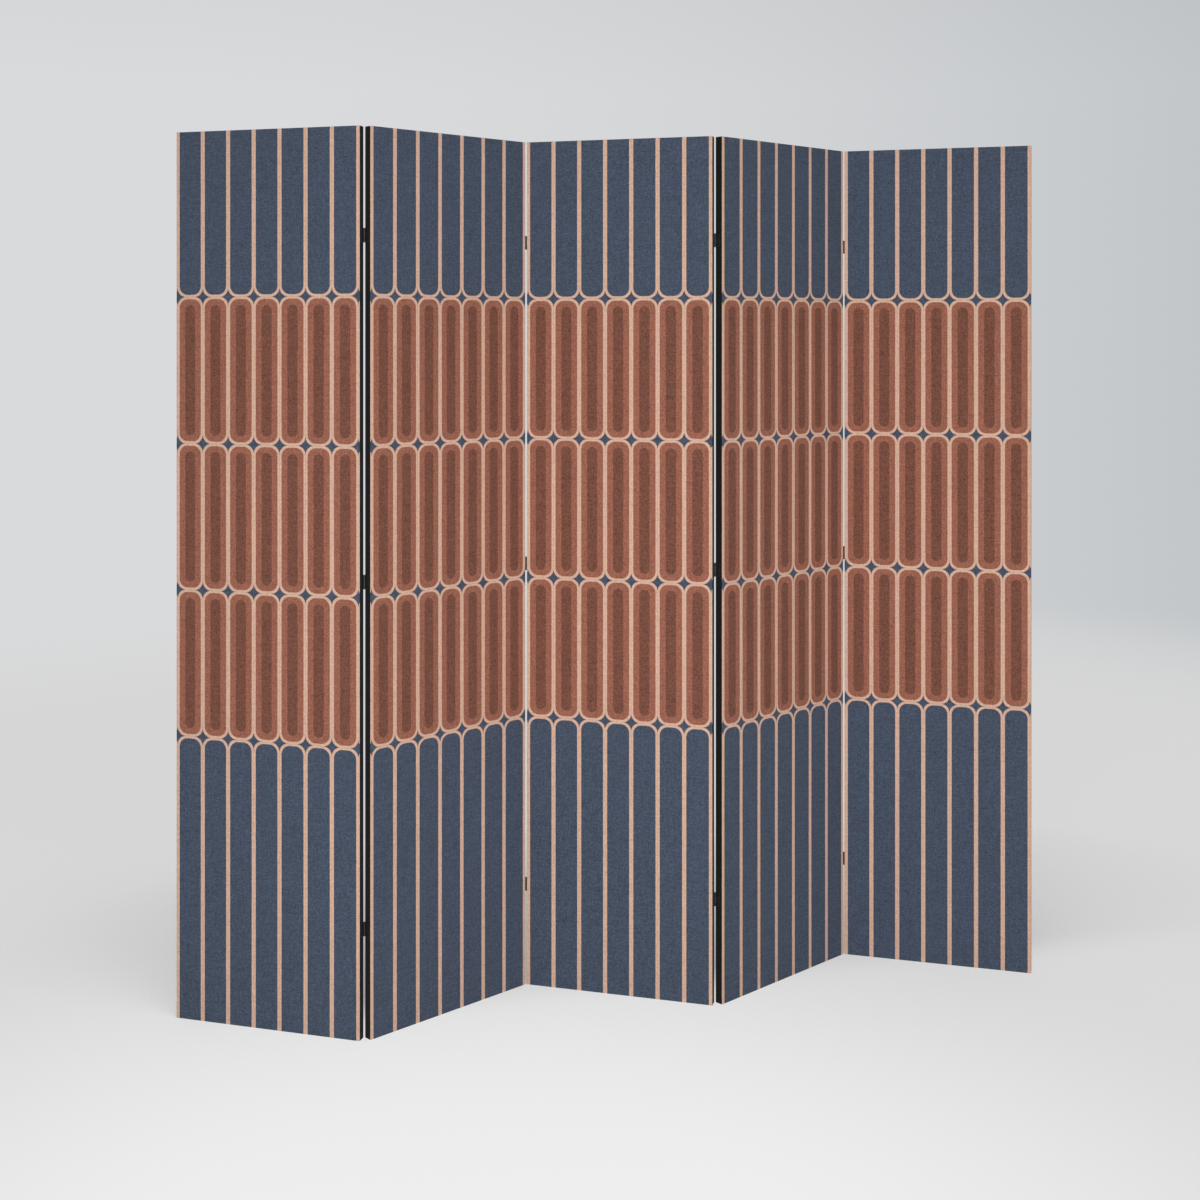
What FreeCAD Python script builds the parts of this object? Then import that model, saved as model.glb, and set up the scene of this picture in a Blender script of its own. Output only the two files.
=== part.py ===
import FreeCAD, Part
import os
import re

import Sketcher
from FreeCAD import Placement, Rotation, Vector

# A folding room divider: five cloth-covered panels in a zigzag, joined by small butt hinges.
# Millimetres, Z up. The origin is on the floor, under the middle of the middle panel, and the
# panels' printed fronts look towards -Y.
# Every piece of a panel is drawn in that panel's own frame, which has its origin at the middle
# of the panel's foot, X to the right along the panel, Y from its front to its back and Z up.

PANELS = 5
HINGES_PER_JOINT = 3
# Two places are the same when they agree to this many decimals
SAME_DECIMALS = 6

# Driving dimensions: millimetres, and one angle in degrees
SIZES = {
    # The panels and how they stand
    "panel_height": 1600,
    "panel_width": 360,
    "panel_depth": 16,
    "panel_edge_round": 0.9,
    "half_fold": 30,
    # The cloths: the printed canvas wraps the frame and ends in a hem on its back
    "canvas_thickness": 0.6,
    "lining_thickness": 0.6,
    "hem_width": 18,
    "lining_inset": 2.5,
    "lining_corner": 3,
    # The wooden frame: stiles and rails of one section, bevelled away from the canvas
    "frame_width": 32,
    "bevel_land": 8,
    "bevel_depth": 1.5,
    "tenon_thickness": 5,
    "tenon_width": 20,
    "tenon_length": 20,
    "tenon_slack": 0.15,
    "tenon_end_slack": 0.5,
    "cross_rail_height": 30,
    "cross_rail_depth": 9,
    "cross_tenon_length": 12,
    # The hinges: the barrel is as thick as the gap between two panels' edges
    "hinge_height": 25,
    "hinge_end_distance": 191,
    "barrel_diameter": 2.8,
    "pivot_proud": 0.3,
    "leaf_thickness": 0.7,
    "leaf_width": 11,
    "leaf_corner": 1.5,
    "knuckle_end_slack": 0.1,
    "knuckle_relief": 0.15,
    "pin_radius": 0.75,
    "pin_slack": 0.05,
    "pin_head_radius": 1.15,
    "pin_head_height": 0.5,
    "pin_head_round": 0.35,
    # The hinge screws
    "screw_length": 12,
    "screw_radius": 1,
    "screw_head_radius": 1.6,
    "screw_point": 2.5,
    "screw_slack": 0.05,
    "screw_end_slack": 0.5,
    "screw_spacing": 15,
    "screw_face_distance": 6.2,
    "recess_width": 0.5,
    "recess_length": 2,
    "recess_depth": 0.35,
    # The staples that hold the hem and the lining to the frame
    "staple_width": 10,
    "staple_leg": 6,
    "staple_wire_width": 0.9,
    "staple_wire_thickness": 0.45,
    "staple_proud": 0.2,
    "staple_point": 0.8,
    "staple_edge_distance": 9,
    "staple_pitch": 95,
}

# Heights of the two cross rails, as shares of the panel's height
CROSS_RAIL_SHARES = (1 / 3, 2 / 3)

# Planes and faces of a panel in its own frame, as formulas in the names above
PANEL_SIDE = "(panel_width / 2)"
PANEL_FRONT = "(-panel_depth / 2)"
HEM_BACK = "(panel_depth / 2 - lining_thickness)"
FRAME_FRONT = "(canvas_thickness - panel_depth / 2)"
FRAME_BACK = "(panel_depth / 2 - lining_thickness - canvas_thickness)"
FRAME_MIDDLE = "(-lining_thickness / 2)"
FRAME_SIDE = "(panel_width / 2 - canvas_thickness)"
FRAME_INNER_SIDE = "(panel_width / 2 - canvas_thickness - frame_width)"
FRAME_FOOT = "canvas_thickness"
FRAME_TOP = "(panel_height - canvas_thickness)"
BARREL_RADIUS = "(barrel_diameter / 2)"
SCREW_HOLE = "(screw_radius + screw_slack)"

doc = FreeCAD.newDocument("room_divider")
sheet = doc.addObject("Spreadsheet::Sheet", "sizes")
for row, (alias, number) in enumerate(SIZES.items(), start=1):
    sheet.set(f"A{row}", alias)
    sheet.set(f"B{row}", str(number))
    sheet.setAlias(f"B{row}", alias)
doc.recompute()

pieces = []


def formula(text):
    """Turn the plain names in a formula into references to the sheet's cells."""
    return re.sub(r"[a-z]\w*", lambda word: f"sizes.{word[0]}" if word[0] in SIZES else word[0], text)


def bind(thing, prop, text):
    """Tie one property of an object to a formula in the sheet's names."""
    thing.setExpression(prop, formula(text))


def value(text):
    """What a formula in the sheet's names comes to."""
    return float(sheet.evalExpression(formula(text)))


# Sketches


def new_sketch(body, role, name, lift="0"):
    """A sketch on one of a body's own planes, lifted along that plane's normal."""
    drawing = body.newObject("Sketcher::SketchObject", name)
    base_plane = next(part for part in body.Origin.OriginFeatures if part.Role == role)
    drawing.AttachmentSupport = (base_plane, [""])
    drawing.MapMode = "FlatFace"
    bind(drawing, "AttachmentOffset.Base.z", lift)
    return drawing


def fix_point(drawing, geometry, point, across, up):
    """Tie a point of a sketch to its distances from the sketch's origin."""
    for kind, axis, text in (("DistanceX", -2, across), ("DistanceY", -1, up)):
        if text == "0":
            drawing.addConstraint(Sketcher.Constraint("PointOnObject", geometry, point, axis))
            continue
        constraint = Sketcher.Constraint(kind, -1, 1, geometry, point, value(text))
        bind(drawing, f"Constraints[{drawing.addConstraint(constraint)}]", text)


def draw_outline(drawing, corners):
    """Draw a closed loop of straight lines through corners given as pairs of formulas."""
    first = drawing.GeometryCount
    points = [Vector(value(across), value(up), 0) for across, up in corners]
    for start, end in zip(points, points[1:] + points[:1]):
        drawing.addGeometry(Part.LineSegment(start, end))
    for index, (across, up) in enumerate(corners):
        following = first + (index + 1) % len(corners)
        drawing.addConstraint(Sketcher.Constraint("Coincident", first + index, 2, following, 1))
        fix_point(drawing, first + index, 1, across, up)


def draw_rectangle(drawing, left, right, low, high):
    """Draw a rectangle between four formulas."""
    draw_outline(drawing, [(left, low), (right, low), (right, high), (left, high)])


def draw_circle(drawing, across, up, radius):
    """Draw a circle round a point, both given as formulas."""
    circle = Part.Circle(Vector(value(across), value(up), 0), Vector(0, 0, 1), value(radius))
    number = drawing.addGeometry(circle)
    fix_point(drawing, number, 3, across, up)
    constraint = drawing.addConstraint(Sketcher.Constraint("Radius", number, value(radius)))
    bind(drawing, f"Constraints[{constraint}]", radius)


# Features


def new_body(name):
    """An empty body whose name is also its label."""
    body = doc.addObject("PartDesign::Body", name)
    body.Label = name
    return body


def pad(body, drawing, name, length, backwards=False):
    """Raise a sketch along its normal, or against it."""
    feature = body.newObject("PartDesign::Pad", name)
    feature.Profile = drawing
    feature.Reversed = backwards
    bind(feature, "Length", length)
    return feature


def pocket(body, drawing, name, depth, forwards=False):
    """Cut a sketch against its normal, or along it, and check that something was cut away."""
    doc.recompute()
    before = body.Shape.Volume
    feature = body.newObject("PartDesign::Pocket", name)
    feature.Profile = drawing
    feature.Reversed = forwards
    bind(feature, "Length", depth)
    doc.recompute()
    if body.Shape.Volume >= before:
        raise RuntimeError(f"{name} cuts nothing")
    return feature


def turned(body, drawing, name, axis):
    """Turn a half outline once round one of its sketch's axes."""
    feature = body.newObject("PartDesign::Revolution", name)
    feature.Profile = drawing
    feature.ReferenceAxis = (drawing, [axis])
    feature.Angle = 360
    return feature


def dress_edges(body, kind, name, size, wanted):
    """Fillet or chamfer the edges of a body whose end points pass a test."""
    doc.recompute()
    base = body.Tip
    edges = base.Shape.Edges
    chosen = [f"Edge{n}" for n, edge in enumerate(edges, start=1) if wanted([v.Point for v in edge.Vertexes])]
    feature = body.newObject(f"PartDesign::{kind}", name)
    feature.Base = (base, chosen)
    bind(feature, "Radius" if kind == "Fillet" else "Size", size)
    return feature


def all_at(points, axis, place):
    """Whether all points lie at one place along an axis, 0 for X, 1 for Y or 2 for Z."""
    return all(round(point[axis] - value(place), SAME_DECIMALS) == 0 for point in points)


# Where the pieces go


def panel_step():
    """The distance between two neighbouring panels' middles along X."""
    along = "(panel_width + barrel_diameter) * cos(half_fold)"
    across = "(panel_depth + 2 * pivot_proud) * sin(half_fold)"
    return f"({along} + {across})"


def stand(thing, panel):
    """Stand a piece that is drawn in a panel's frame where that panel stands in the zigzag."""
    way = Vector(0, 0, 1) if panel % 2 == 0 else Vector(0, 0, -1)
    thing.Placement = Placement(Vector(), Rotation(way, value("half_fold")))
    bind(thing, "Placement.Base.x", f"{panel - (PANELS + 1) / 2} * {panel_step()}")
    bind(thing, "Placement.Rotation.Angle", "half_fold")
    pieces.append(thing)


def copies(master, name, places):
    """Copies of a body, one at each placement."""
    link = doc.addObject("App::Link", name)
    link.LinkedObject = master
    link.ShowElement = False
    link.ElementCount = len(places)
    link.PlacementList = places
    return link


def group(label, links, panel):
    """One named piece made of several sets of copies, standing on a panel."""
    compound = doc.addObject("Part::Compound", label)
    compound.Label = label
    compound.Links = links
    stand(compound, panel)


def hinge_heights():
    """The heights of the hinges' middles: two at one distance from the ends, the rest between."""
    low = value("hinge_end_distance")
    high = value("panel_height - hinge_end_distance")
    return [low + (high - low) * n / (HINGES_PER_JOINT - 1) for n in range(HINGES_PER_JOINT)]


def hinge_edges(panel):
    """The edges of a panel that carry hinges, as (side, face): -1 is left or front, 1 right or back.

    Odd panels are hinged at the front of their left edge and the back of their right edge, and
    even panels the other way round, so the screen folds up like a zigzag.
    """
    across = 1 if panel % 2 == 1 else -1
    edges = [(-1, -across), (1, across)]
    return [edge for edge in edges if 1 <= panel + edge[0] <= PANELS]


def hinge_places(side, face):
    """Placements, in a panel's frame, of the hinges on one of its edges.

    A hinge is drawn with its pin along Z through its origin and its leaf towards +X and +Y.
    Half a turn about the right axis brings it to each of the other three edges.
    """
    turns = {
        (-1, -1): Rotation(),
        (1, 1): Rotation(Vector(0, 0, 1), 180),
        (-1, 1): Rotation(Vector(1, 0, 0), 180),
        (1, -1): Rotation(Vector(0, 1, 0), 180),
    }
    across = side * value(f"{PANEL_SIDE} + {BARREL_RADIUS}")
    deep = face * value("panel_depth / 2 + pivot_proud")
    return [Placement(Vector(across, deep, height), turns[side, face]) for height in hinge_heights()]


def screw_heights():
    """The heights of all the screws on one edge."""
    half = value("screw_spacing / 2")
    return [height + up for height in hinge_heights() for up in (-half, half)]


def draw_screw_holes(drawing, face):
    """Draw the holes of the screws on an edge, as seen on the YZ plane."""
    for height in screw_heights():
        draw_circle(drawing, f"{face} * (panel_depth / 2 - screw_face_distance)", f"{height}", SCREW_HOLE)


# The wooden frame


def tenon_reaches():
    """Heights, widths and lengths of the four tenons that enter each stile, from the foot up."""
    rail = ("tenon_width", "tenon_length")
    cross = ("tenon_width", "cross_tenon_length")
    ends = ["(canvas_thickness + frame_width / 2)", "(panel_height - canvas_thickness - frame_width / 2)"]
    between = [f"({share} * panel_height)" for share in CROSS_RAIL_SHARES]
    return [(ends[0], *rail)] + [(height, *cross) for height in between] + [(ends[1], *rail)]


def stile(panel, side):
    """An upright of a panel's frame: rounded outside, bevelled and mortised inside."""
    word = "left" if side < 0 else "right"
    body = new_body(f"panel_{panel}_{word}_stile")
    inner, outer = f"{side} * {FRAME_INNER_SIDE}", f"{side} * {FRAME_SIDE}"
    left, right = (outer, inner) if side < 0 else (inner, outer)

    section = new_sketch(body, "XY_Plane", "section", FRAME_FOOT)
    draw_rectangle(section, left, right, FRAME_FRONT, FRAME_BACK)
    pad(body, section, "upright", "panel_height - 2 * canvas_thickness")
    dress_edges(body, "Fillet", "outer_rounds", "panel_edge_round - canvas_thickness",
                lambda ends: not all_at(ends, 0, inner))

    bevel = new_sketch(body, "XY_Plane", "bevel_section", FRAME_FOOT)
    land = f"{side} * (panel_width / 2 - canvas_thickness - bevel_land)"
    draw_outline(bevel, [(land, FRAME_FRONT), (inner, FRAME_FRONT), (inner, f"{FRAME_FRONT} + bevel_depth")])
    pocket(body, bevel, "bevel", "panel_height - 2 * canvas_thickness", forwards=True)

    for number, (height, width, length) in enumerate(tenon_reaches(), start=1):
        mouth = new_sketch(body, "YZ_Plane", f"mortise_mouth_{number}", inner)
        half_thickness = "(tenon_thickness / 2 + tenon_slack)"
        draw_rectangle(mouth, f"{FRAME_MIDDLE} - {half_thickness}", f"{FRAME_MIDDLE} + {half_thickness}",
                       f"{height} - {width} / 2 - tenon_slack", f"{height} + {width} / 2 + tenon_slack")
        pocket(body, mouth, f"mortise_{number}", f"{length} + tenon_end_slack", forwards=side > 0)

    for edge_side, face in hinge_edges(panel):
        if edge_side == side:
            holes = new_sketch(body, "YZ_Plane", "pilot_centres", outer)
            draw_screw_holes(holes, face)
            depth = "screw_length - leaf_thickness - canvas_thickness + screw_end_slack"
            pocket(body, holes, "pilot_holes", depth, forwards=side < 0)
    stand(body, panel)


def tenoned_bar(body, low, high, depth, tenon_length):
    """Pad a bar between the stiles, from one height to another, and its tenons."""
    bar = new_sketch(body, "YZ_Plane", "section", f"-{FRAME_INNER_SIDE}")
    draw_rectangle(bar, f"{FRAME_MIDDLE} - {depth} / 2", f"{FRAME_MIDDLE} + {depth} / 2", low, high)
    pad(body, bar, "bar", f"2 * {FRAME_INNER_SIDE}")
    return bar


def tenons(body, low, high, length):
    """Pad the tongue whose ends are a bar's two tenons."""
    tongue = new_sketch(body, "YZ_Plane", "tenon_section", f"-{FRAME_INNER_SIDE} - {length}")
    draw_rectangle(tongue, f"{FRAME_MIDDLE} - tenon_thickness / 2", f"{FRAME_MIDDLE} + tenon_thickness / 2",
                   f"({low} + {high} - tenon_width) / 2", f"({low} + {high} + tenon_width) / 2")
    pad(body, tongue, "tenons", f"2 * ({FRAME_INNER_SIDE} + {length})")


def end_rail(panel, end):
    """The top or bottom rail of a panel's frame: end is 1 at the top and -1 at the foot."""
    word = "top" if end > 0 else "bottom"
    body = new_body(f"panel_{panel}_{word}_rail")
    outer = FRAME_TOP if end > 0 else FRAME_FOOT
    inner = f"({outer} - {end} * frame_width)"
    low, high = (inner, outer) if end > 0 else (outer, inner)
    tenoned_bar(body, low, high, f"({FRAME_BACK} - {FRAME_FRONT})", "tenon_length")
    dress_edges(body, "Fillet", "outer_rounds", "panel_edge_round - canvas_thickness",
                lambda ends: all_at(ends, 2, outer) and ends[0][0] != ends[-1][0])

    bevel = new_sketch(body, "YZ_Plane", "bevel_section", f"-{FRAME_INNER_SIDE}")
    land = f"({outer} - {end} * bevel_land)"
    draw_outline(bevel, [(FRAME_FRONT, land), (FRAME_FRONT, inner), (f"{FRAME_FRONT} + bevel_depth", inner)])
    pocket(body, bevel, "bevel", f"2 * {FRAME_INNER_SIDE}", forwards=True)
    tenons(body, low, high, "tenon_length")
    stand(body, panel)


def cross_rail():
    """A thinner rail between the stiles, drawn at height zero."""
    body = new_body("cross_rail")
    low, high = "(-cross_rail_height / 2)", "(cross_rail_height / 2)"
    tenoned_bar(body, low, high, "cross_rail_depth", "cross_tenon_length")
    tenons(body, low, high, "cross_tenon_length")
    return body


# The cloths


def rounded_block(name, side, front, back, low, high, edge_round):
    """A block as wide as twice side, with all its edges rounded."""
    body = new_body(name)
    section = new_sketch(body, "XY_Plane", "section", low)
    draw_rectangle(section, f"-{side}", side, front, back)
    pad(body, section, "block", f"{high} - {low}")
    dress_edges(body, "Fillet", "rounds", edge_round, lambda ends: True)
    return body


def canvas(panel, core):
    """The printed cloth: a front and four wrapped edges, turned in to a hem on the frame's back."""
    body = rounded_block(f"panel_{panel}_canvas_block", PANEL_SIDE, PANEL_FRONT, HEM_BACK, "0", "panel_height",
                         "panel_edge_round")
    window = new_sketch(body, "XZ_Plane", "window", f"-{HEM_BACK}")
    draw_rectangle(window, "-panel_width / 2 + hem_width", "panel_width / 2 - hem_width",
                   "hem_width", "panel_height - hem_width")
    pocket(body, window, "hem_opening", "2 * canvas_thickness", forwards=True)
    for side, face in hinge_edges(panel):
        holes = new_sketch(body, "YZ_Plane", f"screw_centres_{'left' if side < 0 else 'right'}",
                           f"{side} * {PANEL_SIDE}")
        draw_screw_holes(holes, face)
        pocket(body, holes, f"screw_holes_{'left' if side < 0 else 'right'}", "2 * canvas_thickness",
               forwards=side < 0)
    cloth = doc.addObject("Part::Cut", f"panel_{panel}_front_canvas")
    cloth.Label = f"panel_{panel}_front_canvas"
    cloth.Base = body
    cloth.Tool = core
    stand(cloth, panel)


def lining(panel):
    """The plain cloth that closes a panel's back, set in a little from its edges."""
    body = new_body(f"panel_{panel}_back_lining")
    cloth = new_sketch(body, "XZ_Plane", "cut_of_cloth", f"-{HEM_BACK}")
    draw_rectangle(cloth, "-panel_width / 2 + lining_inset", "panel_width / 2 - lining_inset",
                   "lining_inset", "panel_height - lining_inset")
    pad(body, cloth, "cloth", "lining_thickness", backwards=True)
    dress_edges(body, "Fillet", "corners", "lining_corner",
                lambda ends: ends[0][0] == ends[-1][0] and ends[0][2] == ends[-1][2])
    stand(body, panel)


# The staples


def staple():
    """A staple, drawn with its crown along X on the cloth at Y = 0 and its legs towards -Y."""
    body = new_body("staple")
    wire = new_sketch(body, "XY_Plane", "wire", "-staple_wire_width / 2")
    outer, inner = "(staple_width / 2)", "(staple_width / 2 - staple_wire_thickness)"
    under = "(staple_proud - staple_wire_thickness)"
    tip = "(staple_point - staple_leg)"
    draw_outline(wire, [
        (f"-{outer}", "staple_proud"), (outer, "staple_proud"), (outer, "-staple_leg"), (inner, tip),
        (inner, under), (f"-{inner}", under), (f"-{inner}", tip), (f"-{outer}", "-staple_leg"),
    ])
    pad(body, wire, "bent_wire", "staple_wire_width")
    return body


def spread(low, high):
    """Places evenly spread between two others, about a staple's pitch apart, half a pitch from each."""
    count = max(1, round((high - low) / value("staple_pitch")))
    return [low + (high - low) * (n + 1 / 2) / count for n in range(count)]


def staple_places():
    """Placements of a panel's staples: along its stiles, clear of the hinges, and along its rails."""
    back = value("panel_depth / 2")
    inset = value("staple_edge_distance")
    upright = Rotation(Vector(0, 1, 0), 90)
    stops = [0] + hinge_heights() + [value("panel_height")]
    places = []
    for across in (inset - value(PANEL_SIDE), value(PANEL_SIDE) - inset):
        for low, high in zip(stops, stops[1:]):
            places += [Placement(Vector(across, back, height), upright) for height in spread(low, high)]
    for height in (inset, value("panel_height") - inset):
        ends = spread(-value(FRAME_INNER_SIDE), value(FRAME_INNER_SIDE))
        places += [Placement(Vector(across, back, height), Rotation()) for across in ends]
    return places


# The hinges


def leaf(name, outer_knuckles):
    """A hinge leaf with two outer knuckles, or with the one that fits between them.

    The pin's axis is Z, and the leaf lies against a panel's edge at X = the barrel's radius.
    """
    body = new_body(name)
    half = "(hinge_height / 2)"
    plate = new_sketch(body, "XY_Plane", "plate_section", f"-{half}")
    draw_rectangle(plate, f"{BARREL_RADIUS} - leaf_thickness", BARREL_RADIUS, "0", "pivot_proud + leaf_width")
    pad(body, plate, "plate", "hinge_height")
    dress_edges(body, "Fillet", "plate_corners", "leaf_corner",
                lambda ends: all_at(ends, 1, "pivot_proud + leaf_width") and ends[0][2] == ends[-1][2])
    barrel = new_sketch(body, "XY_Plane", "barrel_section", f"-{half}")
    draw_circle(barrel, "0", "0", BARREL_RADIUS)
    pad(body, barrel, "barrel", "hinge_height")

    # The other leaf's knuckles have their room cut out of this one's barrel and plate
    if outer_knuckles:
        middle = "(hinge_height / 6 + knuckle_end_slack / 2)"
        rooms = [(f"-{middle}", middle)]
    else:
        middle = "(hinge_height / 6 - knuckle_end_slack / 2)"
        rooms = [(f"-{half}", f"-{middle}"), (middle, half)]
    for number, (low, high) in enumerate(rooms, start=1):
        room = new_sketch(body, "XY_Plane", f"room_section_{number}", low)
        draw_circle(room, "0", "0", f"{BARREL_RADIUS} + knuckle_relief")
        pocket(body, room, f"room_{number}", f"{high} - {low}", forwards=True)
    bore = new_sketch(body, "XY_Plane", "bore_section", f"-{half}")
    draw_circle(bore, "0", "0", "pin_radius + pin_slack")
    pocket(body, bore, "bore", "hinge_height", forwards=True)

    holes = new_sketch(body, "YZ_Plane", "screw_centres", BARREL_RADIUS)
    for way in (-1, 1):
        draw_circle(holes, "pivot_proud + screw_face_distance", f"{way} * screw_spacing / 2", SCREW_HOLE)
    pocket(body, holes, "screw_holes", "leaf_thickness")
    doc.recompute()
    rim = f"{BARREL_RADIUS} - leaf_thickness"
    countersinks = dress_edges(body, "Chamfer", "countersinks", "screw_head_radius - screw_radius",
                               lambda ends: len(ends) == 1 and all_at(ends, 0, rim))
    countersinks.ChamferType = "Equal distance"
    return body


def hinge_pin():
    """The pin of a hinge, along Z, with a small rounded head at each end."""
    body = new_body("hinge_pin")
    half = "(hinge_height / 2)"
    end = "(hinge_height / 2 + pin_head_height)"
    outline = new_sketch(body, "XZ_Plane", "half_outline")
    draw_outline(outline, [
        ("0", f"-{end}"), ("pin_head_radius", f"-{end}"), ("pin_head_radius", f"-{half}"),
        ("pin_radius", f"-{half}"), ("pin_radius", half), ("pin_head_radius", half),
        ("pin_head_radius", end), ("0", end),
    ])
    turned(body, outline, "pin", "V_Axis")
    dress_edges(body, "Fillet", "head_rounds", "pin_head_round",
                lambda ends: len(ends) == 1 and abs(ends[0][2]) > value(half) + value("pin_head_height") / 2)
    return body


def hinge_screw():
    """A countersunk wood screw along +X, with its head's face at X = 0 and a cross recess."""
    body = new_body("hinge_screw")
    outline = new_sketch(body, "XY_Plane", "half_outline")
    draw_outline(outline, [
        ("0", "0"), ("screw_length", "0"), ("screw_length - screw_point", "screw_radius"),
        ("screw_head_radius - screw_radius", "screw_radius"), ("0", "screw_head_radius"),
    ])
    turned(body, outline, "screw", "H_Axis")
    for number, (half_y, half_z) in enumerate([("recess_width / 2", "recess_length / 2"),
                                               ("recess_length / 2", "recess_width / 2")], start=1):
        slot = new_sketch(body, "YZ_Plane", f"slot_{number}")
        draw_rectangle(slot, f"-{half_y}", half_y, f"-{half_z}", half_z)
        pocket(body, slot, f"recess_{number}", "recess_depth", forwards=True)
    return body


def screw_places(side, face):
    """Placements of the screws that hold the hinges of one edge of a panel."""
    across = value(f"{BARREL_RADIUS} - leaf_thickness")
    deep = value("pivot_proud + screw_face_distance")
    half = value("screw_spacing / 2")
    in_leaf = [Placement(Vector(across, deep, way * half), Rotation()) for way in (-1, 1)]
    return [place * seat for place in hinge_places(side, face) for seat in in_leaf]


# The whole screen: panels first, then what joins them

core = rounded_block("frame_envelope", FRAME_SIDE, FRAME_FRONT, FRAME_BACK, FRAME_FOOT, FRAME_TOP,
                     "panel_edge_round - canvas_thickness")
cross_places = [Placement(Vector(0, 0, share * value("panel_height")), Rotation()) for share in CROSS_RAIL_SHARES]
cross_rails = copies(cross_rail(), "cross_rail_pair", cross_places)
staples = copies(staple(), "staple_rows", staple_places())
screw = hinge_screw()
pin = hinge_pin()
leaves = {0: leaf("leaf_with_outer_knuckles", True), 1: leaf("leaf_with_middle_knuckle", False)}

for panel in range(1, PANELS + 1):
    for side in (-1, 1):
        stile(panel, side)
        end_rail(panel, side)
    group(f"panel_{panel}_cross_rails", [cross_rails], panel)
    canvas(panel, core)
    lining(panel)
    group(f"panel_{panel}_staples", [staples], panel)

    screws = []
    for side, face in hinge_edges(panel):
        # A joint is named by its two panels, from the left, and its leaves by the side they are on
        joint = f"{panel}_{panel + 1}" if side > 0 else f"{panel - 1}_{panel}"
        word = "left" if side > 0 else "right"
        edge = "right" if side > 0 else "left"
        screws.append(copies(screw, f"panel_{panel}_{edge}_screws", screw_places(side, face)))
        leaf_copies = copies(leaves[panel % 2], f"hinge_{joint}_{word}_set", hinge_places(side, face))
        group(f"hinge_{joint}_{word}_leaves", [leaf_copies], panel)
        if panel % 2 == 0:
            # The pins stay with the leaves that have the outer knuckles
            pin_copies = copies(pin, f"hinge_{joint}_pin_set", hinge_places(side, face))
            group(f"hinge_{joint}_pins", [pin_copies], panel)
    group(f"panel_{panel}_hinge_screws", screws, panel)

doc.recompute()

# Nothing is written unless every object and every piece is sound
for thing in doc.Objects:
    if {"Invalid", "Error"} & set(thing.State):
        raise RuntimeError(f"{thing.Label} did not compute: {thing.State}")
for piece in pieces:
    if piece.Shape.isNull() or not piece.Shape.isValid():
        raise RuntimeError(f"{piece.Label} has no sound shape")

os.makedirs("parts", exist_ok=True)
box = FreeCAD.BoundBox()
for piece in pieces:
    piece.Shape.exportStep(f"parts/{piece.Label}.step")
    box.add(piece.Shape.BoundBox)

print(f"{len(pieces)} pieces, {sum(len(piece.Shape.Solids) for piece in pieces)} solids")
print(f"box {box.XMin:.3f} {box.YMin:.3f} {box.ZMin:.3f} to {box.XMax:.3f} {box.YMax:.3f} {box.ZMax:.3f}")
for panel in range(1, PANELS):
    right_edge = hinge_places(1, 1 if panel % 2 == 1 else -1)[0]
    way = Vector(0, 0, 1) if panel % 2 == 0 else Vector(0, 0, -1)
    standing = Placement(Vector((panel - (PANELS + 1) / 2) * value(panel_step()), 0, 0),
                         Rotation(way, value("half_fold")))
    pivot = standing.multVec(right_edge.Base)
    print(f"pivot between panels {panel} and {panel + 1}: {pivot.x:.4f} {pivot.y:.4f}")
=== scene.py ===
# %% [markdown]
# # A folding screen with five printed canvas panels
#
# A folding screen is a row of tall, light wooden frames with canvas pulled over them, hinged edge to
# edge. It stands because it zigzags. This lesson dresses the imported model of such a screen: the wood,
# the hinges and the staples stay as they are and get finishes, and the two cloths of each panel are
# made anew, because cloth is soft and the imported solids of it are not.
#
# First comes the imported model. It is the frame that everything else is built round.

# %% Load the imported model

import math

import bmesh
import bpy
from mathutils import Matrix, Vector


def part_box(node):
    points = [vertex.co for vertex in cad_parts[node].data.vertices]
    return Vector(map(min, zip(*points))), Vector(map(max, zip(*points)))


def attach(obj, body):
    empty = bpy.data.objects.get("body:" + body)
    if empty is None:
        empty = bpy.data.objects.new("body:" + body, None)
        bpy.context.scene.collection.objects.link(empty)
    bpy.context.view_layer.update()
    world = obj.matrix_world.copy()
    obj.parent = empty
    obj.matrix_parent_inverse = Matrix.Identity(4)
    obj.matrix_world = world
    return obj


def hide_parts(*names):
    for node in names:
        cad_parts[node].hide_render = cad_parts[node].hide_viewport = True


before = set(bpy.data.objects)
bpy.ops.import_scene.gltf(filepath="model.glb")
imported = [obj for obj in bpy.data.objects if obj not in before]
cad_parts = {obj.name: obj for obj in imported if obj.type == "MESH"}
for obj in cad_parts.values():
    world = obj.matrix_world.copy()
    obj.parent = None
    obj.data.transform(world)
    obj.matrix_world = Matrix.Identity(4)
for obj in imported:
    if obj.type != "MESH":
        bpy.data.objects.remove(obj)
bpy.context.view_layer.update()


# %% [markdown]
# ## The camera
#
# A picture of furniture is usually taken with the camera held level, so that upright edges stay
# upright, and the lens is then shifted to bring the whole piece into view. The camera could be
# moved about by eye until it fits. Here its place was worked out instead, from the lines in which the
# tops and feet of the panels run together, so it only has to be written down. The lens is close
# to 50 mm on a 36 mm sensor.

# %% Camera

PICTURE_SIZE = 1200
SENSOR = 36.0
FOCAL_PIXELS = 1654.34
HORIZON_ROW = 335.91
CAMERA_PLACE = (-0.77443, -3.00287, 1.23217)
CAMERA_TURN = 13.7953

camera_data = bpy.data.cameras.new("studio_camera")
camera_data.sensor_width = SENSOR
camera_data.lens = FOCAL_PIXELS / PICTURE_SIZE * SENSOR
camera_data.shift_y = (HORIZON_ROW - PICTURE_SIZE / 2) / PICTURE_SIZE
camera_data.clip_end = 200

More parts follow.
